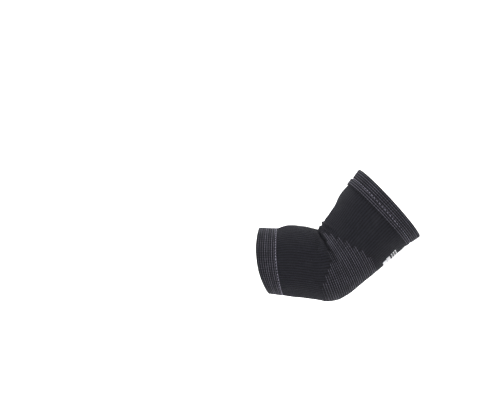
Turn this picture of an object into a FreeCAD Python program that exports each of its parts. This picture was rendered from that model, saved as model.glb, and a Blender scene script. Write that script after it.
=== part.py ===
"""Elastic elbow sleeve: a knitted tube worn over a bent elbow, with a turned cuff at each end.

Millimetres. The sleeve's plane of bend is XZ, +Z up and +Y across the arm. The forearm points along -X, the
upper arm along +X and +Z. The origin is the middle of the elbow's flexion axis, which lies along Y.
Each sub-part is written to parts/NODE.step.
"""
import FreeCAD, Part
import math
import os

Vector = FreeCAD.Vector

# Knitted walls
WALL = 1.8              # plain knit, worn and stretched
CUFF_FACE = 1.2         # outer layer of a turned cuff
CUFF_GAP = 1.0          # room between the two layers, where the elastic threads run
CUFF_BACK = 1.0         # inner layer of a turned cuff
CUFF_FOLD = 1.4         # thickness of the fold that makes the rim
CUFF_STEP = 2.4         # how far the upper cuff stands proud of the tube beside it
RIM_ROUND = 0.9         # rounding of both edges of a rim

# Elastic threads and sewing thread
THREAD = 0.8            # covered rubber thread
STITCH = 0.5            # sewing thread
STITCH_LONG = 2.6
STITCH_PITCH = 4.0
STITCH_SINK = 0.1       # how deep a stitch's own axis lies in the cuff
FOREARM_CUFF_THREADS = 9
UPPER_CUFF_THREADS = 8
ELBOW_THREADS = 27
CHANNEL = 1.0           # bore that an elbow thread runs in, inside the knit
FOREARM_SEAM = 0.90     # place of each hem seam across its cuff, from the rim (0) to the tube (1)
UPPER_SEAM = 0.58

# Transfer patch on the back of the upper arm
PATCH_FROM, PATCH_TO = 0.24, 0.76   # share of the upper tube, from the elbow
PATCH_HALF_WIDTH = 22.0
PATCH_DEPTH = 0.3       # how deep into the sleeve the block that cuts it out reaches
PATCH_LIFT = 0.1
PATCH_THICK = 0.5

# Courses of the knit. Each is a flat oval through the sleeve, given by its back point and front point in
# the plane of bend, as (X, Z), and its half width across the arm.
FOREARM_RIM = ((-74.5, -49.0), (-87.2, 38.1), 39.5)
FOREARM_HEM = ((-53.3, -51.4), (-61.2, 37.6), 41.0)
FOREARM_FULL = ((-36.0, -53.6), (-50.0, 41.2), 43.5)
FOREARM_LOW = ((-17.0, -56.0), (-38.0, 41.4), 43.8)
FOREARM_END = ((1.3, -58.8), (-25.0, 40.1), 43.6)
UPPER_START = ((69.8, -19.4), (15.0, 70.0), 45.0)
UPPER_MID = ((90.0, -2.2), (22.0, 83.5), 46.3)
UPPER_HEM = ((107.7, 14.8), (32.4, 95.3), 47.5)
UPPER_RIM = ((127.0, 27.4), (46.9, 116.1), 49.5)

# Elbow: the back outline is a cubic between the two tubes. The front outline runs straight to the crook and
# straight on from it. The courses lie close together before the crook and further apart after it.
CROOK = (-8.0, 36.1)
CROOK_SHARE = 0.46      # share of the elbow's courses that end before the crook
FRONT_EASE = 1.2        # power that makes the courses start slowly after the crook
BACK_EASE = 0.41        # evens out the courses along the back
ELBOW_BACK_HANDLES = ((27.0, -61.0), (38.0, -44.0))
ELBOW_SECTIONS = 7
ELBOW_GAP = 0.4         # between the forearm tube and the elbow, where the sleeve bends

# Striped panel: it is stepped on both sides, with two threads to each step and one in the first. A step's
# reach is the angle from the front at which it ends. It runs straight between these steps.
REACH_STEPS = (0, 4, 7, 13)
REACH_ANGLES = (119.0, 82.0, 28.0, 114.0)
PANEL_OVERRUN = 0.04    # share of the elbow by which the block that cuts the panel out passes both its ends
PANEL_BEYOND = ((110.0, -50.0), (60.0, -110.0), (0.0, -110.0))
THREAD_END_GAP = 2.0    # an elbow thread stops this far inside the panel's edge
CHANNEL_END_GAP = 1.8   # and its bore a little further on
SIDE = 90.0             # half width of the prism that cuts the panel out


def mix(a, b, share):
    """A course between two others, or a point between two points."""
    if isinstance(a, tuple):
        return tuple(mix(x, y, share) for x, y in zip(a, b))
    return a + (b - a) * share


def proud(course, by):
    """The course with its outline standing that much further out."""
    back, front, half_width = course
    share = by / math.dist(back, front)
    return mix(back, front, -share), mix(front, back, -share), half_width + by


def oval(course):
    """The course's outline, near an ellipse: its half depth, its end arcs' radius, its side arcs' radius and
    the angle from the front at which they meet."""
    back, front, half_width = course
    half_depth = math.dist(back, front) / 2
    diagonal = math.hypot(half_depth, half_width)
    end_radius = diagonal * (diagonal - half_depth + half_width) / (2 * half_depth)
    side_radius = diagonal * (diagonal + half_depth - half_width) / (2 * half_width)
    meet = math.atan2(side_radius - half_width, half_depth - end_radius)
    return half_depth, end_radius, side_radius, meet


def arc(course, centre, radius, start, end):
    """An arc in the course's plane. The centre is so far towards the front and towards +Y, and the angles
    are counted from the front towards +Y."""
    back, front, _ = course
    middle = Vector(back[0] + front[0], 0, back[1] + front[1]) / 2
    forward = Vector(front[0] - back[0], 0, front[1] - back[1]).normalize()
    across = Vector(0, 1, 0)
    centre = middle + forward * centre[0] + across * centre[1]
    angles = (start, (start + end) / 2, end)
    return Part.Arc(*[centre + (forward * math.cos(t) + across * math.sin(t)) * radius for t in angles])


def outline(course, out=0.0, front_limit=None):
    """The course's outline moved out by that much, as a wire. With a front limit it is open, and holds only
    what lies less than that far in front of the middle."""
    half_depth, end_radius, side_radius, meet = oval(course)
    half_width = course[2]
    end_centre = half_depth - end_radius
    side_centre = side_radius - half_width
    end_radius += out
    side_radius += out
    side_from = meet
    ends = [(-meet, meet)]
    if front_limit is not None:
        past_sides = front_limit > end_centre + end_radius * math.cos(meet)
        ends = [(math.acos((front_limit - end_centre) / end_radius), meet)] if past_sides else []
        side_from = meet if past_sides else math.acos(front_limit / side_radius)
    arcs = [arc(course, (end_centre, 0), end_radius, start, end) for start, end in ends]
    arcs.append(arc(course, (0, -side_centre), side_radius, side_from, math.pi - meet))
    arcs.append(arc(course, (-end_centre, 0), end_radius, math.pi - meet, math.pi + meet))
    arcs.append(arc(course, (0, side_centre), side_radius, math.pi + meet, 2 * math.pi - side_from))
    if front_limit is not None:
        arcs += [arc(course, (end_centre, 0), end_radius, -end, -start) for start, end in ends]
    return Part.Wire([a.toShape() for a in arcs])


def loft(courses, out=0.0):
    return Part.makeLoft([outline(c, out) for c in courses], True, len(courses) == 2)


def tube(courses, wall, out=0.0):
    """A knitted tube through the courses, whose face lies that far out from them."""
    return loft(courses, out).cut(loft(courses, out - wall))


def cubic(a, b, c, d, share):
    """A point of the cubic with those end points and handles."""
    ab, bc, cd = mix(a, b, share), mix(b, c, share), mix(c, d, share)
    return mix(mix(ab, bc, share), mix(bc, cd, share), share)


def elbow_course(share):
    """A course of the elbow, from the forearm (0) to the upper arm (1)."""
    along_back = share + BACK_EASE * share * (1 - share)
    back = cubic(FOREARM_END[0], *ELBOW_BACK_HANDLES, UPPER_START[0], along_back)
    if share < CROOK_SHARE:
        front = mix(FOREARM_END[1], CROOK, share / CROOK_SHARE)
    else:
        front = mix(CROOK, UPPER_START[1], ((share - CROOK_SHARE) / (1 - CROOK_SHARE)) ** FRONT_EASE)
    return back, front, mix(FOREARM_END[2], UPPER_START[2], share)


def cuff(rim, hem):
    """A turned cuff: one band folded over at the rim, open between its two layers at the hem."""
    body = tube([rim, hem], CUFF_FACE + CUFF_GAP + CUFF_BACK)
    width = math.dist(mix(rim[0], rim[1], 0.5), mix(hem[0], hem[1], 0.5))
    slot_courses = [mix(rim, hem, CUFF_FOLD / width), mix(rim, hem, 1.0 + 1.0 / width)]
    return rounded_rim(body.cut(tube(slot_courses, CUFF_GAP, -CUFF_FACE)), rim)


def rounded_rim(body, rim):
    """The body with the edges that lie in the rim's plane rounded."""
    back, front, _ = rim
    along = Vector(front[0] - back[0], 0, front[1] - back[1])
    normal = along.cross(Vector(0, 1, 0)).normalize()
    start = Vector(back[0], 0, back[1])
    edges = [e for e in body.Edges
             if all(abs((p - start).dot(normal)) < 1e-4 for p in e.discretize(7))]
    return body.makeFillet(RIM_ROUND, edges)


def thread(path, diameter):
    """A round thread along a wire of arcs."""
    first = path.OrderedEdges[0]
    start = first.valueAt(first.FirstParameter)
    ring = Part.Circle(start, first.tangentAt(first.FirstParameter), diameter / 2)
    return path.makePipe(Part.Face(Part.Wire([ring.toShape()])))


def forwardness(step):
    """Where a step of the striped panel ends, in half depths of its course in front of the middle."""
    last = next(n for n, limit in enumerate(REACH_STEPS) if n and step <= limit)
    share = (step - REACH_STEPS[last - 1]) / (REACH_STEPS[last] - REACH_STEPS[last - 1])
    return math.cos(math.radians(mix(REACH_ANGLES[last - 1], REACH_ANGLES[last], share)))


def panel_corners():
    """The striped panel seen from the side, from its forearm end round the back."""
    steps = ELBOW_THREADS // 2 + 1
    limits = [-PANEL_OVERRUN] + [(2 * n + 1) / ELBOW_THREADS for n in range(steps - 1)] + [1 + PANEL_OVERRUN]
    corners = []
    for step in range(steps):
        for share in limits[step:step + 2]:
            back, front, _ = elbow_course(share)
            corners.append(mix(back, front, (1 + forwardness(step)) / 2))
    return corners + list(PANEL_BEYOND)


def elbow_thread(number, diameter, end_gap):
    """One elastic thread of the elbow: round the back, from one edge of the striped panel to the other."""
    course = elbow_course((number + 0.5) / ELBOW_THREADS)
    half_depth = math.dist(course[0], course[1]) / 2
    limit = half_depth * forwardness((number + 1) // 2) - end_gap
    return thread(outline(course, -WALL / 2, limit), diameter)


def cuff_thread(rim, hem, number, of):
    """One elastic ring between the two layers of a cuff."""
    course = mix(rim, hem, (number + 0.9) / (of + 0.6))
    return thread(outline(course, -CUFF_FACE - CUFF_GAP / 2), THREAD)


def hem_stitches(course):
    """A row of short stitches round the face of a cuff."""
    seam = outline(course, -STITCH_SINK)
    points = seam.discretize(round(seam.Length / STITCH_PITCH) + 1)[:-1]
    made = []
    for before, at, after in zip(points[-1:] + points, points, points[1:] + points[:1]):
        along = (after - before).normalize()
        made.append(Part.makeCylinder(STITCH / 2, STITCH_LONG, at - along * (STITCH_LONG / 2), along))
    return Part.makeCompound(made)


def side_prism(corners, half_width):
    """A prism across the arm over a polygon in the plane of bend."""
    points = [Vector(x, -half_width, z) for x, z in corners]
    face = Part.Face(Part.makePolygon(points + points[:1]))
    return face.extrude(Vector(0, 2 * half_width, 0))


def transfer_patch():
    """A thin patch that follows the back of the upper tube."""
    skin = tube([UPPER_START, UPPER_MID, UPPER_HEM], PATCH_THICK, PATCH_LIFT + PATCH_THICK)
    low, high = (mix(UPPER_START, UPPER_HEM, share) for share in (PATCH_FROM, PATCH_TO))
    corners = [mix(low[0], low[1], -PATCH_DEPTH), mix(low[0], low[1], PATCH_DEPTH),
               mix(high[0], high[1], PATCH_DEPTH), mix(high[0], high[1], -PATCH_DEPTH)]
    return skin.common(side_prism(corners, PATCH_HALF_WIDTH))


def build():
    upper_hem_face = proud(UPPER_HEM, CUFF_STEP)
    forearm_end = mix(FOREARM_END, FOREARM_LOW, ELBOW_GAP / math.dist(FOREARM_END[0], FOREARM_LOW[0]))
    forearm_seam = mix(FOREARM_RIM, FOREARM_HEM, FOREARM_SEAM)
    upper_seam = mix(UPPER_RIM, upper_hem_face, UPPER_SEAM)
    elbow = tube([elbow_course(n / (ELBOW_SECTIONS - 1)) for n in range(ELBOW_SECTIONS)], WALL)
    channels = Part.makeCompound([elbow_thread(n, CHANNEL, CHANNEL_END_GAP) for n in range(ELBOW_THREADS)])
    stripes = side_prism(panel_corners(), SIDE)
    parts = {
        "forearm_cuff": cuff(FOREARM_RIM, FOREARM_HEM),
        "forearm_hem_stitches": hem_stitches(forearm_seam),
        "forearm_tube": tube([FOREARM_HEM, FOREARM_FULL, FOREARM_LOW, forearm_end], WALL),
        "elbow_panel": elbow.common(stripes).cut(channels),
        "crook_panel": elbow.cut(stripes),
        "upper_tube": tube([UPPER_START, UPPER_MID, UPPER_HEM], WALL),
        "upper_cuff": cuff(UPPER_RIM, upper_hem_face),
        "upper_hem_stitches": hem_stitches(upper_seam),
        "transfer_patch": transfer_patch(),
    }
    for n in range(FOREARM_CUFF_THREADS):
        ring = cuff_thread(FOREARM_RIM, FOREARM_HEM, n, FOREARM_CUFF_THREADS)
        parts[f"forearm_cuff_elastic_{n + 1}"] = ring
    for n in range(UPPER_CUFF_THREADS):
        ring = cuff_thread(UPPER_RIM, upper_hem_face, n, UPPER_CUFF_THREADS)
        parts[f"upper_cuff_elastic_{n + 1}"] = ring
    for n in range(ELBOW_THREADS):
        parts[f"elbow_elastic_{n + 1:02d}"] = elbow_thread(n, THREAD, THREAD_END_GAP)
    return parts


os.makedirs("parts", exist_ok=True)
for name, shape in build().items():
    solids = shape.Solids
    sound = all(s.isValid() and s.Volume > 0 for s in solids)
    print(f"{name}: {len(solids)} solids, {sum(s.Volume for s in solids):.0f} mm3, valid {sound}")
    shape.exportStep(f"parts/{name}.step")
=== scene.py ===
"""Elastic elbow sleeve: the looks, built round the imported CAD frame, in metres and in the CAD's own frame.

The sleeve is one knitted surface. A point on it is given by a station, which runs from the forearm rim (0) to
the upper-arm rim (8) and crosses the elbow between 4 and 5, and by an angle round the arm from the front (0),
over +Y, to the back (pi). Every piece is laid on that surface, so the pieces follow the same folds.
"""
import math

import bpy
import numpy as np
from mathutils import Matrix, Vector


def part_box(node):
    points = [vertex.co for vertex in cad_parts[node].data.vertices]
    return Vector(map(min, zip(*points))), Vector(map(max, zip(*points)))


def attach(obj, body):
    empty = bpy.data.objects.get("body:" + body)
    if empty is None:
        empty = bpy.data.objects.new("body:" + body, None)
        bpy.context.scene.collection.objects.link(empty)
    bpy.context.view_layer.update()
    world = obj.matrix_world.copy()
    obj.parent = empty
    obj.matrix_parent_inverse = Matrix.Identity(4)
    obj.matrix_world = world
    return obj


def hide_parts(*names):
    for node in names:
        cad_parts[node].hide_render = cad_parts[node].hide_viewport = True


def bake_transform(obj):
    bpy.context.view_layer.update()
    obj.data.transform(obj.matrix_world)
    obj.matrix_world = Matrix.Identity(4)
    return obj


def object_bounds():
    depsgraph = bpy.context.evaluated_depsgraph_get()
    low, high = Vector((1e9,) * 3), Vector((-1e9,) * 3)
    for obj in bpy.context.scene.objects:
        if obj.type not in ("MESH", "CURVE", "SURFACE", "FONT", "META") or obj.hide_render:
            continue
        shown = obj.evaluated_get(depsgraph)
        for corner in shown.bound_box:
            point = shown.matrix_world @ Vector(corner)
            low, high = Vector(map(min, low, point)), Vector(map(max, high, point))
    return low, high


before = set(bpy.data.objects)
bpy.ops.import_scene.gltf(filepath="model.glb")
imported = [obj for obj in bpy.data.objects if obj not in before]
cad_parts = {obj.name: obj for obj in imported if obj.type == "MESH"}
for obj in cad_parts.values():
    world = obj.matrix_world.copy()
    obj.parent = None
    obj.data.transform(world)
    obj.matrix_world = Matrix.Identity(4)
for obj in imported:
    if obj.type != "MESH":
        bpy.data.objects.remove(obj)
cad_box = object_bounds()

MM = 0.001
TURN = 2 * math.pi
UPPER, FOREARM = "upper_sleeve", "forearm_sleeve"

# ---------------------------------------------------------------- the knit's own sizes, in millimetres
WALES = 88                  # ribs round the sleeve
PER_WALE = 6                # columns of vertices in each
COLUMNS = WALES * PER_WALE
WALL = 1.8
RIB = 0.48                  # height of a rib of the plain knit
CUFF_RIB = 0.16             # and of the tighter cuff
ROW = 1.0                   # spacing of the rows of vertices on a tube
COURSE = 1.15               # one course of loops, for the surface texture
PINCH = 0.30                # how deep an elastic thread pulls the striped knit in
CUFF_PINCH = 0.24
PANEL_RIB = 0.55            # share of a plain rib's height left in the striped knit
THREAD_RADIUS = 0.40
THREAD_SIDES = 6
THREAD_DIP = 0.22           # how far a thread's middle dips below a furrow
THREAD_PROUD = 0.16         # and stands above a crest
STRIPES = 27
THREAD_INSIDE = 0.01        # how far inside the striped panel's edge its threads start, as an angle
PANEL_PAST_THREAD = 0.02    # how far the striped panel goes on past its threads' ends, as an angle
STRIPE_ROWS = 4             # rows of vertices for each elbow stripe
STRIPE_COURSES = 3          # courses of loops for each, for the surface texture
CUFF_THICK = 3.2
UPPER_SEAM, FOREARM_SEAM = 0.58, 0.90   # place of each hem seam, from the rim (0) to the tube (1)
SEAM_DRIFT = 0.12           # how much nearer the tube the upper seam lies at the back
# How pale each of a cuff's threads is, from the rim
FOREARM_SHADES = (0.35, 0.40, 0.40, 0.80, 0.75, 0.35, 1.00, 0.65, 0.85)
UPPER_SHADES = (0.45, 0.65, 0.40, 0.60, 0.45, 0.50, 0.80, 0.95)
UPPER_TIER = 1.9            # step of the upper cuff's inner tier, at the front
STITCH_WALES = 1.25         # wales to each stitch
STITCH_FILL = 0.70          # share of its pitch that a stitch covers
STITCH_RADIUS = 0.30
STITCH_SLANT = 0.25
STITCH_STEPS, STITCH_SIDES = 9, 6
PRINT_THICK = 0.12
PRINT_LIFT = 0.07           # how far the film's face stands off the ribs
PRINT_ROW = 0.035           # spacing of its rows of vertices, as a share of the way between two stations
SQUARE_SIDE = 0.08          # a small square of the print along the sleeve, in the same measure
SQUARE_HALF_ANGLE = 0.036
SQUARE_PITCH = 0.13         # from one square to the next round the sleeve, as an angle

# ---------------------------------------------------------------- courses, in millimetres, as in the CAD
# Back point and front point in the plane of bend as X, Z, then the half width across the arm. The last number
# is how far the course bows towards the upper arm on its two sides.
COURSES = {
    0: (-74.5, -49.0, -87.2, 38.1, 39.5, -9.0),
    1: (-53.3, -51.4, -61.2, 37.6, 41.0, -5.0),
    2: (-36.0, -53.6, -50.0, 41.2, 43.5, -4.9),
    3: (-17.0, -56.0, -38.0, 41.4, 43.8, -4.8),
    4: (1.3, -58.8, -25.0, 40.1, 43.6, -4.7),
    5: (69.8, -19.4, 15.0, 70.0, 45.0, 1.5),
    6: (90.0, -2.2, 22.0, 83.5, 46.3, 0.8),
    7: (107.7, 14.8, 32.4, 95.3, 47.5, 0.0),
    8: (127.0, 27.4, 46.9, 116.1, 49.5, 0.0),
}
COURSES = {station: np.array(course) for station, course in COURSES.items()}
CROOK = np.array([-8.0, 36.1])
CROOK_SHARE = 0.46
FRONT_EASE = 1.2
BACK_EASE = 0.41
ELBOW_BACK_HANDLES = np.array([(27.0, -61.0), (38.0, -44.0)])
ELBOW_BOW = 4.0             # extra bow in the middle of the elbow

# ---------------------------------------------------------------- folds, in millimetres
CREASE_SHARE = 0.40                     # the course along which the forearm's knit tucks under
CREASE_DEPTH = 5.6
RIDGE_HEIGHT = 1.0                      # of the ridge on the crease's forearm side
HOLLOW_DEPTH = 3.4                      # and of the soft hollow beyond it
CREASE_ROW = (1.3, 2.9)                 # spacing of two stripes beside the crease, at the front and the back
ROLL_HEIGHT = 1.5
ROLL_PITCH = 7.0
ROLL_TOP = 11.0                         # the main roll's distance from the crook along the front outline
UNEVEN = 0.55                           # gentle unevenness of worn fabric


def smooth(x, low=0.0, high=1.0):
    """A soft step from 0 at low to 1 at high."""
    x = np.clip((x - low) / (high - low), 0, 1)
    return x * x * (3 - 2 * x)


def swell(x, middle, width):
    """A rounded hump of height 1, falling off to about a third at that width from its middle."""
    return np.exp(-((x - middle) / width) ** 2)


def elbow_course(share):
    """A course of the elbow, from the forearm (0) to the upper arm (1)."""
    start, end = COURSES[4], COURSES[5]
    along = share + BACK_EASE * share * (1 - share)
    rest = 1 - along
    first, second = ELBOW_BACK_HANDLES
    back = rest**3 * start[:2] + 3 * rest**2 * along * first
    back = back + 3 * rest * along**2 * second + along**3 * end[:2]
    if share < CROOK_SHARE:
        front = start[2:4] + (CROOK - start[2:4]) * share / CROOK_SHARE
    else:
        front = CROOK + (end[2:4] - CROOK) * ((share - CROOK_SHARE) / (1 - CROOK_SHARE)) ** FRONT_EASE
    size = start[4:] + (end[4:] - start[4:]) * share
    return np.concatenate([back, front, size + (0, ELBOW_BOW * math.sin(math.pi * share))])


def course(station):
    """Back X, Z, front X, Z, half width and bow at any station."""
    first = min(max(int(math.floor(station)), 0), 7)
    share = station - first
    if first == 4:
        return elbow_course(share)
    a, b = COURSES[first], COURSES[first + 1]
    if first in (0, 7):
        return a + (b - a) * share
    before = (b - COURSES[first - 1]) / 2 if first in (2, 3, 6) else b - a
    after = (COURSES[first + 2] - a) / 2 if first in (1, 2, 5) else b - a
    rest = 1 - share
    return (a * (1 + 2 * share) * rest**2 + b * (3 - 2 * share) * share**2
            + before * share * rest**2 - after * rest * share**2)


def crease(stations, angles):
    """The fold where the forearm's knit tucks under the upper arm's: a sharp valley along one course, with a
    roll above it. On its forearm side a ridge and a soft hollow fan out from the crook."""
    from_front = np.arccos(np.cos(angles))
    spacing = np.interp(np.cos(from_front), (-1, 1), CREASE_ROW[::-1])
    across = (stations - 4 - CREASE_SHARE) * STRIPES * spacing
    strength = smooth(from_front, 0.08, 0.50) * smooth(-from_front, -1.95, -1.25)
    valley = np.where(across < 0, swell(across, 0, 3.0), swell(across, 0, 1.2))
    roll = swell(across, 3.2, 2.2)
    fan = -3.5 - 18.0 * (from_front - 0.66)
    ridge = swell(across, 0.5 * fan, 2.4)
    hollow = swell(across, fan, 3.2) * smooth(-from_front, -1.45, -0.95)
    return strength * (roll - CREASE_DEPTH * valley + RIDGE_HEIGHT * ridge - HOLLOW_DEPTH * hollow)


def crook_rolls(x, z, forwards):
    """Gathers on the front of the elbow, just above the crook."""
    run = COURSES[5][2:4] - CROOK
    run = run / np.linalg.norm(run)
    along = (x - CROOK[0]) * run[0] + (z - CROOK[1]) * run[1]
    rolls = np.cos(TURN * (along - ROLL_TOP) / ROLL_PITCH) * swell(along, 9, 6.0)
    hollow = smooth(along, 14, 28) * smooth(-along, -52, -34)
    return (ROLL_HEIGHT * rolls - 0.9 * hollow) * smooth(forwards, 0.45, 0.95)


def unevenness(x, z, angle):
    """Slow waves of the worn fabric. Sines keep it the same on every run."""
    slow = np.sin(0.083 * x - 0.061 * z + 2 * np.sin(angle)) * np.sin(0.11 * z + 1.3 * np.cos(angle) + 0.7)
    quick = np.sin(0.23 * x + 0.17 * z + 3 * np.sin(angle + 0.5)) * np.cos(2 * angle + 0.09 * x)
    return UNEVEN * (0.65 * slow + 0.35 * quick)


def skin(stations, angles, out=0.0):
    """Points of the fabric in metres, that many millimetres out from it. The stations are one to a row, and
    the angles and the distances are for each point of each row."""
    rows = np.array([course(s) for s in stations])
    back_x, back_z, front_x, front_z, half_width, bow = (rows[:, [n]] for n in range(6))
    depth = np.hypot(front_x - back_x, front_z - back_z) / 2
    forward_x, forward_z = (front_x - back_x) / (2 * depth), (front_z - back_z) / (2 * depth)
    cos, sin = np.cos(angles), np.sin(angles)
    towards = bow * sin**2
    x = (back_x + front_x) / 2 + forward_x * depth * cos + forward_z * towards
    z = (back_z + front_z) / 2 + forward_z * depth * cos - forward_x * towards
    normal_in, normal_across = cos / depth, sin / half_width
    size = np.hypot(normal_in, normal_across)
    out = out + crease(np.reshape(stations, (-1, 1)), angles)
    out = out + crook_rolls(x, z, cos) + unevenness(x, z, angles)
    inwards = out * normal_in / size
    points = np.stack([x + forward_x * inwards, half_width * sin + out * normal_across / size,
                       z + forward_z * inwards], axis=-1)
    return points * MM


# ---------------------------------------------------------------- meshes
def new_piece(name, points, faces, uvs, material, wear=None, sharp=60):
    """A smooth mesh object. The faces are quads, and uvs has one pair for each of their corners."""
    used, faces = np.unique(faces, return_inverse=True)
    faces = faces.reshape(-1, 4)
    mesh = bpy.data.meshes.new(name)
    mesh.vertices.add(len(used))
    mesh.vertices.foreach_set("co", points[used].astype(np.float32).ravel())
    mesh.loops.add(faces.size)
    mesh.loops.foreach_set("vertex_index", faces.ravel().astype(np.int32))
    mesh.polygons.add(len(faces))
    mesh.polygons.foreach_set("loop_start", np.arange(0, faces.size, 4, dtype=np.int32))
    mesh.update(calc_edges=True)
    mesh.uv_layers.new(name="UVMap").data.foreach_set("uv", uvs.astype(np.float32).ravel())
    layer = mesh.attributes.new("wear", "FLOAT", "POINT")
    layer.data.foreach_set("value", (np.zeros(len(used)) if wear is None else wear[used]).astype(np.float32))
    mesh.polygons.foreach_set("use_smooth", np.ones(len(faces), dtype=bool))
    mesh.set_sharp_from_angle(angle=math.radians(sharp))
    mesh.validate()
    mesh.materials.append(material)
    piece = bpy.data.objects.new(name, mesh)
    bpy.context.scene.collection.objects.link(piece)
    return piece


def cell_faces(rows, columns, close_rows=False, close_columns=True):
    """Quads of a grid of points with their normals outwards, and the grid place of each corner."""
    row, column = np.meshgrid(np.arange(rows if close_rows else rows - 1),
                              np.arange(columns if close_columns else columns - 1), indexing="ij")
    steps = ((0, 0), (1, 0), (1, 1), (0, 1))
    corners = [np.stack([row + a, column + b], axis=-1) for a, b in steps]
    corners = np.stack(corners, axis=-2).reshape(-1, 4, 2)
    faces = corners[..., 0] % rows * columns + corners[..., 1] % columns
    return faces, corners


def shell(name, outer, inner, keep, course_place, material, wear=None):
    """A closed knitted wall over the kept cells of a grid that goes right round the arm."""
    rows, columns = outer.shape[:2]
    faces, corners = cell_faces(rows, columns)
    kept = keep.ravel()
    outer_faces = faces[kept]
    corners = corners[kept]
    inner_faces = outer_faces[:, ::-1] + rows * columns
    all_faces, all_corners = [outer_faces, inner_faces], [corners, corners[:, ::-1]]
    padded = np.zeros((rows + 1, columns), dtype=bool)
    padded[1:-1] = keep
    neighbours = {(3, 0): padded[:-2], (1, 2): padded[2:],
                  (0, 1): np.roll(keep, 1, axis=1), (2, 3): np.roll(keep, -1, axis=1)}
    for (first, second), beside in neighbours.items():
        edge = ~beside.ravel()[kept]
        a, b = outer_faces[edge][:, first], outer_faces[edge][:, second]
        all_faces.append(np.stack([b, a, a + rows * columns, b + rows * columns], axis=-1))
        pick = corners[edge]
        all_corners.append(pick[:, [second, first, first, second]])
    places = np.concatenate(all_corners).astype(float)
    uvs = np.stack([places[..., 1] / PER_WALE, np.asarray(course_place)[places[..., 0].astype(int)]], axis=-1)
    points = np.concatenate([outer.reshape(-1, 3), inner.reshape(-1, 3)])
    worn = None if wear is None else np.tile(wear.ravel(), 2)
    return new_piece(name, points, np.concatenate(all_faces), uvs, material, worn)


def rib(angles):
    """The plain knit's rib profile, from 0 in a furrow to 1 on a crest."""
    return (0.5 + 0.5 * np.cos(angles * WALES)) ** 0.8


def rib_heights(stations):
    """How high the plain knit's ribs stand at each station: the wider upper arm stretches them flatter."""
    return RIB * (1 - 0.55 * smooth(np.asarray(stations), 4.8, 5.4))[:, None]


def round_angles():
    return np.arange(COLUMNS) * TURN / COLUMNS


def middle_length(stations):
    """The length along the sleeve's middle from the first station to each, in millimetres."""
    rows = np.array([course(s) for s in stations])
    middles = (rows[:, :2] + rows[:, 2:4]) / 2
    return np.concatenate([[0], np.cumsum(np.linalg.norm(np.diff(middles, axis=0), axis=1))])


def plain_tube(name, node, first, last, body_material):
    """One plain ribbed tube between two stations, in place of its CAD node."""
    count = round(middle_length([first + (last - first) * n / 20 for n in range(21)])[-1] / ROW) + 1
    stations = np.linspace(first, last, count)
    angles = round_angles()[None, :].repeat(count, axis=0)
    heights = rib_heights(stations)
    outer = skin(stations, angles, heights * rib(angles))
    inner = skin(stations, angles, heights * rib(angles + TURN / WALES / 2) - WALL - RIB)
    piece = shell(name, outer, inner, np.ones((count - 1, COLUMNS), dtype=bool),
                  middle_length(stations) / COURSE, body_material)
    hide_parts(node)
    return piece


# ---------------------------------------------------------------- the elbow: two zones of one grid
def reach_angle(node):
    """How near the front a thread of the elbow comes, as an angle from the front, read from its CAD ring."""
    number = int(node.rsplit("_", 1)[1])
    row = elbow_course((number - 0.5) / STRIPES)
    back, forward = row[:2], row[2:4] - row[:2]
    points = np.array([v.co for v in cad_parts[node].data.vertices])[:, [0, 2]] / MM
    reach = ((points - back) @ forward).max() / (forward @ forward)
    return math.acos(min(1.0, 2 * reach - 1))


def stripe_limits():
    """The threads' nodes, and for each stripe the angle from the front at which the striped panel ends: a
    little past the thread's own end, and midway between two wales."""
    nodes = [f"elbow_elastic_{n + 1:02d}" for n in range(STRIPES)]
    wale = TURN / WALES
    limits = np.array([reach_angle(node) for node in nodes]) - PANEL_PAST_THREAD
    return nodes, (np.floor(limits / wale) + 0.5) * wale


def elbow_zones(limits, knit_material, striped_material):
    """The striped panel over the point of the elbow, and the plain knit in front of it."""
    rows = STRIPES * STRIPE_ROWS + 1
    shares = np.linspace(0, 1, rows)
    stations = 4 + shares
    angles = round_angles()[None, :].repeat(rows, axis=0)
    from_front = np.minimum(angles, TURN - angles)
    limit_rows = np.interp(shares * STRIPES, np.arange(STRIPES) + 0.5, limits)[:, None]
    striped = smooth(from_front - limit_rows, -0.02, 0.06)
    pinch = 0.5 + 0.5 * np.cos(TURN * (shares[:, None] * STRIPES - 0.5))
    plain_height = rib_heights(stations) * rib(angles)
    height = plain_height * (1 - (1 - PANEL_RIB) * striped) - PINCH * striped * pinch
    ends = np.minimum(1, np.minimum(shares, 1 - shares)[:, None] * STRIPES)
    outer = skin(stations, angles, height * ends + plain_height * (1 - ends))
    inner = skin(stations, angles, rib_heights(stations) * rib(angles + TURN / WALES / 2) - WALL - RIB)
    cell_limit = np.repeat(limits, STRIPE_ROWS)[:, None]
    middle = from_front[:-1] + np.where(angles[:-1] < math.pi, 0.5, -0.5) * TURN / COLUMNS
    keep = middle > cell_limit
    places = shares * STRIPES * STRIPE_COURSES
    panel = shell("elbow_panel_knit", outer, inner, keep, places, striped_material)
    crook = shell("crook_panel_knit", outer, inner, ~keep, places, knit_material)
    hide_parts("elbow_panel")
    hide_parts("crook_panel")
    return panel, crook


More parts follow.
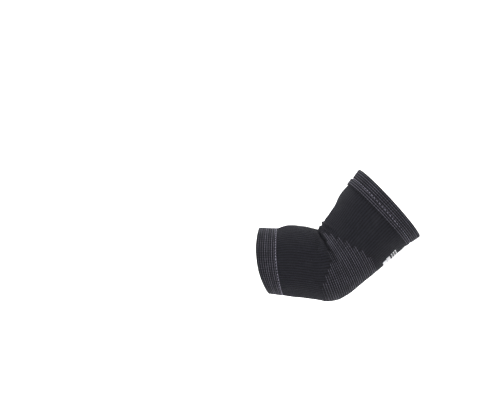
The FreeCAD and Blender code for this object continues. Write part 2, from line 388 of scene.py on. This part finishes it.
# ---------------------------------------------------------------- threads
def thread_piece(name, node, station, material, rib_height, bed, shade, first=0.0):
    """An elastic thread laid through the knit. It floats over each rib's crest and dips behind each furrow,
    so it shows as a row of flecks. It runs from the first angle round the back, or all the way round.
    bed(angles) is how far out the furrow lies in which it runs, and the shade is how pale it is, up to 1."""
    closed = first == 0.0
    count = round((TURN - 2 * first) / TURN * COLUMNS)
    angles = first + np.arange(count) * (TURN - 2 * first) / (count if closed else count - 1)
    over = bed(angles) - THREAD_DIP + (rib_height + THREAD_DIP + THREAD_PROUD) * rib(angles)
    taper = np.ones(count) if closed else smooth(np.minimum(np.arange(count), np.arange(count)[::-1]), -1, 5)
    ring = np.arange(THREAD_SIDES) * TURN / THREAD_SIDES
    radius = THREAD_RADIUS * taper[:, None]
    lift = over[:, None] - (1 - taper[:, None]) + radius * 0.8 * np.sin(ring)
    shift = radius * np.cos(ring)
    points = thread_points(station, angles, lift, shift)
    faces, corners = cell_faces(count, THREAD_SIDES, close_rows=closed)
    around = np.stack([corners[..., 0] / PER_WALE, corners[..., 1] / THREAD_SIDES], axis=-1)
    if not closed:
        around = np.concatenate([around, np.zeros((2 * (THREAD_SIDES // 2 - 1), 4, 2))])
        faces = np.concatenate([faces, end_caps(count)])
    paleness = np.clip(shade + 0.12 * np.sin(3 * angles + 40 * station) + 0.10 * np.sin(11 * angles), 0, 1)
    piece = new_piece(name, points.reshape(-1, 3), faces, around, material,
                      paleness.repeat(THREAD_SIDES), sharp=180)
    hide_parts(node)
    return piece


def thread_points(station, angles, lift, shift):
    """A grid of points round a thread's line: one row for each angle, one column for each side. Each point is
    moved out from the line and along the sleeve, in millimetres."""
    step = 0.02
    stations = np.broadcast_to(station, angles.shape)
    across = angles[:, None]
    low, middle, high = (skin(stations + s, across)[:, 0] for s in (-step, 0, step))
    along = (high - low) / np.linalg.norm(high - low, axis=1)[:, None]
    outwards = skin(stations, across, np.ones(across.shape))[:, 0] - middle
    return middle[:, None] + along[:, None] * shift[..., None] * MM + outwards[:, None] * lift[..., None]


def panel_bed(angles):
    """How far out the striped knit's furrows lie under its threads."""
    return np.full(len(angles), -PINCH)


def cuff_bed(tier, share):
    """The same for one thread of a cuff, as a function of the angle."""
    return lambda angles: tier(share, angles) - CUFF_PINCH


def end_caps(count):
    """Quads that close both ends of an open thread."""
    half = THREAD_SIDES // 2
    first = [(n, n + 1, THREAD_SIDES - n - 2, THREAD_SIDES - n - 1) for n in range(half - 1)]
    start = np.array(first)
    return np.concatenate([start, start[:, ::-1] + (count - 1) * THREAD_SIDES])


def cuff_share(node, rim_station, hem_station):
    """Where a cuff's thread lies between the rim (0) and the hem (1), read from its CAD ring."""
    low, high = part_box(node)
    middle = np.array([low.x + high.x, low.z + high.z]) / 2 / MM
    ends = [(course(s)[:2] + course(s)[2:4]) / 2 for s in (rim_station, hem_station)]
    run = ends[1] - ends[0]
    return float((middle - ends[0]) @ run / (run @ run))


# ---------------------------------------------------------------- cuffs
def cuff(name, node, hem, rim, shares, tier_at, thickness, material):
    """A turned cuff: its face from the hem to the rim, the fold, and its back down to the hem again.
    The shares are where its threads lie, and tier_at(share, angle) is how far its face stands out."""
    width = middle_length([min(hem, rim), max(hem, rim)])[-1]
    fold = thickness / 2
    face = sorted(set(np.linspace(0, 1, round(width / 0.55) + 1)) | set(shares))
    face = np.array([s for s in face if s * width > fold])[::-1]
    bends = np.linspace(math.pi / 2, 3 * math.pi / 2, 9)
    fold_shares = (fold - fold * np.sin(bends - math.pi / 2)) / width
    back = np.linspace(fold / width, 1, round(width / 1.2))
    profile = np.concatenate([face, fold_shares, back[1:]])
    outs = [np.zeros(len(face)), fold * np.sin(bends) - fold, np.full(len(back) - 1, -thickness)]
    outs = np.concatenate(outs)
    on_face = np.concatenate([np.ones(len(face)), np.clip(np.sin(bends), 0, 1), np.zeros(len(back) - 1)])
    angles = round_angles()[None, :].repeat(len(profile), axis=0)
    place, weight = profile[:, None], on_face[:, None]
    near = np.abs(place - np.array(sorted(shares))[None, :]).min(axis=1)[:, None] * width
    pinch = swell(near, 0, 0.55)
    relief = CUFF_RIB * rib(angles) - CUFF_PINCH * pinch
    stations = rim + (hem - rim) * profile
    out = outs[:, None] + weight * (relief + tier_at(place, angles)) + (1 - weight) * CUFF_RIB * rib(angles)
    points = skin(stations, angles, out)
    if rim < hem:
        points = points[::-1]
        profile = profile[::-1]
    faces, corners = cell_faces(len(profile), COLUMNS, close_rows=True)
    place = np.concatenate([[0], np.cumsum(np.linalg.norm(np.diff(points[:, 0], axis=0), axis=1))])
    place = np.append(place, place[-1] + np.linalg.norm(points[-1, 0] - points[0, 0])) / MM / COURSE
    uvs = np.stack([corners[..., 1] / PER_WALE, place[corners[..., 0]]], axis=-1)
    wear = swell(profile * width, 0, 1.6)[:, None].repeat(COLUMNS, axis=1).ravel()
    piece = new_piece(name, points.reshape(-1, 3), faces, uvs, material, wear)
    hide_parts(node)
    return piece


def upper_seam(angles):
    """Place of the upper cuff's seam, which drifts towards the tube at the back."""
    return UPPER_SEAM + SEAM_DRIFT * (0.5 - 0.5 * np.cos(angles))


def forearm_seam(angles):
    """Place of the forearm cuff's seam, the same all the way round."""
    return np.full(np.shape(angles), FOREARM_SEAM)


def upper_tier(shares, angles):
    """The upper cuff's face: an outer tier from the rim to the seam, and a prouder inner one."""
    step = UPPER_TIER * (0.62 + 0.38 * np.cos(angles))
    past_seam = shares - upper_seam(angles)
    return 0.35 + step * smooth(past_seam, 0.01, 0.09) - 0.9 * swell(past_seam, 0, 0.035)


def forearm_tier(shares, angles):
    """The forearm cuff's face: nearly flush with the tube, and pulled in a little along its seam."""
    return 0.30 - 0.30 * swell(shares, forearm_seam(angles), 0.03)


# ---------------------------------------------------------------- sewing and print
def hem_stitches(name, node, hem, rim, seam, tier, material):
    """A row of short stitches round a cuff, each arched over the knit with both ends pulled in."""
    count = round(WALES / STITCH_WALES)
    angles, lift, shift = [], [], []
    ring = np.arange(STITCH_SIDES) * TURN / STITCH_SIDES
    arch = np.linspace(-1, 1, STITCH_STEPS)
    for n in range(count):
        girth = STITCH_RADIUS * np.sqrt(np.maximum(0.05, 1 - arch**6))[:, None]
        angles.append((n + 0.5 * arch * STITCH_FILL) * TURN / count)
        lift.append(0.30 - 0.55 * arch[:, None]**4 + girth * np.sin(ring))
        shift.append(girth * np.cos(ring) + STITCH_SLANT * arch[:, None])
    angles, lift, shift = (np.concatenate(part) for part in (angles, lift, shift))
    shares = seam(angles)
    points = thread_points(rim + (hem - rim) * shares, angles, lift + tier(shares, angles)[:, None], shift)
    faces, corners = cell_faces(STITCH_STEPS, STITCH_SIDES, close_rows=False)
    tube_uv = np.stack([corners[..., 0] / 2, corners[..., 1] / STITCH_SIDES], axis=-1)
    caps = stitch_caps()
    one = np.concatenate([faces, caps])
    uv = np.concatenate([tube_uv, np.zeros((len(caps), 4, 2))])
    all_faces = np.concatenate([one + n * STITCH_STEPS * STITCH_SIDES for n in range(count)])
    all_uvs = np.tile(uv, (count, 1, 1))
    paleness = np.full(points.size // 3, 0.8)
    piece = new_piece(name, points.reshape(-1, 3), all_faces, all_uvs, material, paleness,
                      sharp=180)
    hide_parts(node)
    return piece


def stitch_caps():
    """Quads that close both ends of one six-sided stitch."""
    start = np.array([(0, 1, 4, 5), (1, 2, 3, 4)])
    return np.concatenate([start, start[:, ::-1] + (STITCH_STEPS - 1) * STITCH_SIDES])


def print_island(stations, angles):
    """A patch of thin film over the ribs: its points, its quads and their surface coordinates."""
    rows, columns = len(stations), angles.shape[1]
    fabric = rib_heights(stations) * rib(angles) + PRINT_LIFT
    top = skin(stations, angles, fabric)
    bottom = skin(stations, angles, fabric - PRINT_THICK)
    faces, corners = cell_faces(rows, columns, close_columns=False)
    flat = np.arange(rows * columns).reshape(rows, columns)
    loop = np.concatenate([flat[0], flat[1:, -1], flat[-1, -2::-1], flat[-2:0:-1, 0]])
    following = np.roll(loop, -1)
    edge_faces = np.stack([loop, following, following + rows * columns, loop + rows * columns], axis=-1)
    edge = np.stack([loop, following, following, loop], axis=-1)
    grid = np.stack(np.unravel_index(edge, (rows, columns)), axis=-1)
    all_faces = np.concatenate([faces, faces[:, ::-1] + rows * columns, edge_faces])
    all_corners = np.concatenate([corners, corners[:, ::-1], grid])
    uvs = all_corners[..., ::-1] / PER_WALE
    return np.concatenate([top.reshape(-1, 3), bottom.reshape(-1, 3)]), all_faces, uvs


def transfer_print(material):
    """The mark on the back of the upper arm: two plain bands, with a regular grid of small squares beyond."""
    def block(first, last, centre, half_angle):
        count = max(3, round((last - first) / PRINT_ROW))
        stations = np.linspace(first, last, count)
        columns = max(4, round(2 * half_angle / TURN * COLUMNS))
        across = np.linspace(-half_angle, half_angle, columns)[None, :].repeat(count, axis=0)
        return stations, centre + across

    blocks = [block(5.42, 5.66, math.pi, 0.50), block(5.68, 5.90, math.pi, 0.54)]
    blocks += [block(first, first + SQUARE_SIDE, math.pi + column * SQUARE_PITCH, SQUARE_HALF_ANGLE)
               for first in (6.00, 6.14, 6.28) for column in range(-4, 5)]
    points, faces, uvs, total = [], [], [], 0
    for stations, angles in blocks:
        p, f, uv = print_island(stations, angles)
        points.append(p)
        faces.append(f + total)
        uvs.append(uv)
        total += len(p)
    piece = new_piece("transfer_print", np.concatenate(points), np.concatenate(faces), np.concatenate(uvs),
                      material)
    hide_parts("transfer_patch")
    return piece


# ---------------------------------------------------------------- materials
class Shader:
    """A material's node tree, with short ways to add nodes to it."""

    def __init__(self, name):
        self.material = bpy.data.materials.new(name)
        self.material.use_nodes = True
        self.tree = self.material.node_tree
        self.surface = self.tree.nodes["Principled BSDF"]

    def node(self, kind, inputs=None, **settings):
        made = self.tree.nodes.new(kind)
        for key, value in settings.items():
            setattr(made, key, value)
        for key, value in (inputs or {}).items():
            self.put(made.inputs[key], value)
        return made

    def put(self, socket, value):
        if isinstance(value, bpy.types.NodeSocket):
            self.tree.links.new(value, socket)
        else:
            socket.default_value = value

    def math(self, operation, *values):
        made = self.node("ShaderNodeMath", operation=operation)
        for socket, value in zip(made.inputs, values):
            self.put(socket, value)
        return made.outputs[0]

    def noise(self, scale, detail, rough):
        where = self.node("ShaderNodeTexCoord").outputs["Object"]
        return self.node("ShaderNodeTexNoise", {"Vector": where, "Scale": scale, "Detail": detail,
                                                "Roughness": rough}).outputs["Fac"]

    def span(self, value, low, high, to_low, to_high):
        return self.node("ShaderNodeMapRange", {"Value": value, "From Min": low, "From Max": high,
                                                "To Min": to_low, "To Max": to_high},
                         interpolation_type="SMOOTHSTEP").outputs["Result"]

    def mix(self, factor, a, b):
        made = self.node("ShaderNodeMix", data_type="RGBA")
        for socket, value in ((made.inputs[0], factor), (made.inputs[6], a), (made.inputs[7], b)):
            self.put(socket, value)
        return made.outputs[2]

    def grid(self):
        """The surface coordinates: wales round the arm, and courses along it."""
        place = self.node("ShaderNodeUVMap", uv_map="UVMap").outputs["UV"]
        split = self.node("ShaderNodeSeparateXYZ", {"Vector": place})
        return split.outputs["X"], split.outputs["Y"]

    def finish(self, colour, rough, height, depth, sheen):
        self.put(self.surface.inputs["Base Color"], colour)
        self.put(self.surface.inputs["Roughness"], rough)
        bump = self.node("ShaderNodeBump", {"Height": height, "Distance": depth * MM, "Strength": 0.8})
        self.put(self.surface.inputs["Normal"], bump.outputs["Normal"])
        self.surface.inputs["Sheen Weight"].default_value = sheen
        self.surface.inputs["Sheen Roughness"].default_value = 0.55
        self.surface.inputs["Sheen Tint"].default_value = (0.75, 0.78, 0.88, 1)
        self.surface.inputs["Specular IOR Level"].default_value = 0.14
        return self.material


def grey(level, blue=0.45, pink=0.0):
    """A near-neutral colour with that share more blue than red, and that share less green."""
    return (level, level * (1 - pink), level * (1 + blue), 1)


def knit_material(name, base, worn, loops_per_wale, sheen):
    """Black knit: columns of V-shaped loops, painted shade in the loop gaps and rib furrows with painted
    light on the rib crests, paler fibres, dust and wear on the edges.
    """
    s = Shader(name)
    wales, courses = s.grid()
    column = s.math("MULTIPLY", wales, loops_per_wale)
    off_middle = s.math("ABSOLUTE", s.math("SUBTRACT", s.math("FRACT", column), 0.5))
    slanted = s.math("ADD", courses, s.math("MULTIPLY", off_middle, 1.3))
    wave = s.math("SINE", s.math("MULTIPLY", slanted, TURN))
    loop = s.span(wave, -1.0, 1.0, 0.0, 1.0)
    groove = s.span(off_middle, 0.34, 0.5, 1.0, 0.25)
    height = s.math("MULTIPLY", loop, groove)
    fibre = s.noise(1500.0, 2.0, 0.7)
    patchy = s.noise(28.0, 4.0, 0.6)
    wear = s.node("ShaderNodeAttribute", attribute_name="wear").outputs["Fac"]
    rubbed = s.span(s.math("ADD", patchy, s.math("MULTIPLY", wear, 0.35)), 0.50, 0.85, 0.0, 0.7)
    crest = s.span(s.math("COSINE", s.math("MULTIPLY", wales, TURN)), -1.0, 1.0, 0.0, 1.0)
    # painted shade and painted light: the gaps between loops and the rib furrows are darkened and the rib
    # crests lightened, as shading of the ribs
    painted_rib_shade = s.math("MULTIPLY", s.span(height, 0.0, 1.0, 0.3, 1.0), s.span(crest, 0.0, 1.0, 0.10, 1.0))
    colour = s.mix(painted_rib_shade, grey(base * 0.35), grey(base * 2.2))
    colour = s.mix(s.span(fibre, 0.45, 0.75, 0.0, 0.55), colour, grey(worn))
    colour = s.mix(s.math("MULTIPLY", rubbed, 0.5), colour, grey(worn, 0.16))
    rough = s.span(fibre, 0.2, 0.8, 0.98, 0.80)
    relief = s.math("ADD", height, s.math("MULTIPLY", fibre, 0.35))
    return s.finish(colour, rough, relief, 0.42, sheen)


def thread_material(name, dark, light, sheen):
    """A covered rubber thread: two plies of flecked grey yarn wound round it."""
    s = Shader(name)
    along, around = s.grid()
    twist = s.math("SINE", s.math("MULTIPLY", s.math("ADD", s.math("MULTIPLY", along, 3.0), around), TURN))
    ply = s.span(twist, -1.0, 1.0, 0.0, 1.0)
    fleck = s.noise(700.0, 3.0, 0.65)
    patchy = s.noise(60.0, 2.0, 0.5)
    shade = s.span(s.math("ADD", fleck, s.math("MULTIPLY", patchy, 0.5)), 0.50, 0.95, 0.0, 1.0)
    paleness = s.node("ShaderNodeAttribute", attribute_name="wear").outputs["Fac"]
    shade = s.math("MULTIPLY", s.math("ADD", shade, 0.35), s.span(paleness, 0.0, 1.0, 0.1, 1.0))
    colour = s.mix(shade, grey(dark, 0.15, 0.06), grey(light, 0.22, 0.04))
    colour = s.mix(s.math("MULTIPLY", ply, 0.35), colour, grey(dark * 0.7))
    rough = s.span(fleck, 0.2, 0.8, 0.90, 0.65)
    return s.finish(colour, rough, ply, 0.12, sheen)


def print_material():
    """A pale transfer film, crazed along the furrows of the knit under it and dulled by rubbing."""
    s = Shader("pale_transfer_film")
    wales, _ = s.grid()
    furrow = s.math("ABSOLUTE", s.math("SUBTRACT", s.math("FRACT", wales), 0.5))
    crack = s.noise(420.0, 4.0, 0.7)
    broken = s.span(s.math("ADD", s.math("MULTIPLY", furrow, -0.35), crack), 0.50, 0.62, 0.0, 1.0)
    patchy = s.noise(90.0, 2.0, 0.5)
    film = s.mix(patchy, grey(0.30, 0.05), grey(0.62, 0.03))
    colour = s.mix(s.math("MULTIPLY", broken, 0.75), film, grey(0.03))
    rough = s.span(patchy, 0.3, 0.7, 0.42, 0.68)
    return s.finish(colour, rough, s.math("SUBTRACT", 1.0, broken), 0.10, 0.0)


def floor_material():
    s = Shader("pale_floor")
    mottle = s.noise(3.0, 3.0, 0.5)
    colour = s.mix(mottle, (0.93, 0.93, 0.93, 1), (0.96, 0.96, 0.96, 1))
    return s.finish(colour, 0.85, mottle, 0.05, 0.0)


# ---------------------------------------------------------------- the stage, in metres
FLOOR_DROP = 0.14           # from the sleeve's lowest point to the floor
FLOOR_REACH = 12.0
CURVE_FROM, CURVE = 2.2, 0.8            # where the floor starts to curve up, and the curve's radius
BACKDROP_TOP = 4.0


def build_stage():
    """A plain pale floor, well under the sleeve, that curves up into a backdrop far behind it."""
    ground = cad_box[0][2] - FLOOR_DROP
    turns = np.linspace(0.1, math.pi / 2, 14)
    profile = [(-FLOOR_REACH, 0.0), (CURVE_FROM, 0.0)]
    profile += [(CURVE_FROM + CURVE * math.sin(t), CURVE - CURVE * math.cos(t)) for t in turns]
    profile += [(CURVE_FROM + CURVE, BACKDROP_TOP)]
    points = np.array([[(x, y, ground + z) for x in (-FLOOR_REACH, FLOOR_REACH)] for y, z in profile])
    count = len(profile)
    faces = np.array([(2 * n, 2 * n + 1, 2 * n + 3, 2 * n + 2) for n in range(count - 1)])
    mesh = bpy.data.meshes.new("floor")
    mesh.from_pydata(points.reshape(-1, 3).tolist(), [], faces.tolist())
    mesh.polygons.foreach_set("use_smooth", [True] * len(mesh.polygons))
    mesh.materials.append(floor_material())
    floor = bpy.data.objects.new("floor", mesh)
    bpy.context.scene.collection.objects.link(floor)


def area_light(name, place, target, size, power):
    lamp = bpy.data.lights.new(name, "AREA")
    lamp.shape = "DISK"
    lamp.size = size
    lamp.energy = power
    light = bpy.data.objects.new(name, lamp)
    light.location = place
    light.rotation_euler = (Vector(target) - Vector(place)).to_track_quat("-Z", "Y").to_euler()
    bpy.context.scene.collection.objects.link(light)


def build_lights():
    target = (0.02, 0, 0.02)
    area_light("key_light", (-0.8, -1.1, 1.8), target, 0.8, 58)
    area_light("fill_light", (1.3, -1.6, 0.7), target, 1.4, 10)
    area_light("back_light", (0.3, 1.6, 1.4), target, 1.2, 20)
    area_light("backdrop_light", (0.0, 0.9, 2.4), (0.0, 3.0, 0.6), 1.6, 110)
    world = bpy.data.worlds.new("studio")
    world.use_nodes = True
    nodes, links = world.node_tree.nodes, world.node_tree.links
    where = nodes.new("ShaderNodeTexCoord")
    height = nodes.new("ShaderNodeSeparateXYZ")
    glow = nodes.new("ShaderNodeMapRange")
    for name, value in (("From Min", -0.1), ("From Max", 0.6), ("To Min", 0.10), ("To Max", 0.80)):
        glow.inputs[name].default_value = value
    links.new(where.outputs["Generated"], height.inputs["Vector"])
    links.new(height.outputs["Z"], glow.inputs["Value"])
    links.new(glow.outputs["Result"], nodes["Background"].inputs["Strength"])
    nodes["Background"].inputs["Color"].default_value = (1, 1, 1, 1)
    bpy.context.scene.world = world
    bpy.context.scene.view_settings.view_transform = "Standard"


def build_camera():
    """Level with the sleeve and square to its plane of bend, with the sleeve right of the frame's middle."""
    lens = bpy.data.cameras.new("camera")
    lens.lens = 70
    lens.sensor_width = 36
    lens.clip_end = 50
    camera = bpy.data.objects.new("camera", lens)
    camera.location = (-0.0985, -1.293, 0.0753)
    camera.rotation_euler = (math.pi / 2, 0, 0)
    bpy.context.scene.collection.objects.link(camera)
    bpy.context.scene.camera = camera


# Each fabric's flat width and length before it is worn, in millimetres, and the share of that rectangle that
# it fills. These are guesses. A cuff's length is its height, though its band is folded in two.
FOREARM_ROUND = 235.0                   # all the way round the slack sleeve
UPPER_ROUND = 255.0
FLAT_SIZES = {
    "forearm_tube_knit": (FOREARM_ROUND, 47.0, 1.0),
    "upper_tube_knit": (UPPER_ROUND, 43.0, 1.0),
    "elbow_panel_knit": (170.0, 96.0, 0.65),
    "crook_panel_knit": (190.0, 80.0, 0.52),
    "forearm_cuff_welt": (FOREARM_ROUND, 24.0, 1.0),
    "upper_cuff_welt": (UPPER_ROUND, 25.0, 1.0),
}


def bend(piece):
    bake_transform(piece)


def build_sleeve():
    plain = knit_material("black_plain_knit", 0.0058, 0.017, 2, 0.018)
    striped = knit_material("black_striped_knit", 0.0040, 0.013, 2, 0.015)
    welt = knit_material("black_cuff_knit", 0.0042, 0.012, 3, 0.015)
    elastic = thread_material("flecked_elastic", 0.020, 0.090, 0.05)
    sewing = thread_material("grey_sewing_thread", 0.10, 0.32, 0.05)

    nodes, limits = stripe_limits()
    fabrics = [plain_tube("forearm_tube_knit", "forearm_tube", 1, 4, plain),
               plain_tube("upper_tube_knit", "upper_tube", 5, 7, plain),
               *elbow_zones(limits, plain, striped)]
    for fabric in fabrics:
        bend(fabric)
    for n, node in enumerate(nodes):
        leads_step = n > STRIPES // 2 and n % 2 == 0
        thread = thread_piece(f"{node}_thread", node, 4 + (n + 0.5) / STRIPES, elastic, PANEL_RIB * RIB,
                              panel_bed, 0.8 if leads_step else 0.5, limits[n] + THREAD_INSIDE)
        bend(thread)

    cuffs = (("forearm_cuff", FOREARM, 1, 0, FOREARM_SHADES, forearm_tier, forearm_seam),
             ("upper_cuff", UPPER, 7, 8, UPPER_SHADES, upper_tier, upper_seam))
    for node, body, hem, rim, shades, tier, seam in cuffs:
        rings = [f"{node}_elastic_{n + 1}" for n in range(len(shades))]
        shares = [cuff_share(ring, rim, hem) for ring in rings]
        band = cuff(f"{node}_welt", node, hem, rim, shares, tier, CUFF_THICK, welt)
        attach(band, body)
        fabrics.append(band)
        for ring, share, shade in zip(rings, shares, shades):
            bed = cuff_bed(tier, share)
            station = rim + (hem - rim) * share
            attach(thread_piece(f"{ring}_thread", ring, station, elastic, CUFF_RIB, bed, shade), body)
        stitches = node.replace("cuff", "hem_stitches")
        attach(hem_stitches(f"{stitches}_row", stitches, hem, rim, seam, tier, sewing), body)
    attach(transfer_print(print_material()), UPPER)
    for fabric in fabrics:
        width, length, share = FLAT_SIZES[fabric.name]


build_stage()
build_lights()
build_camera()
build_sleeve()
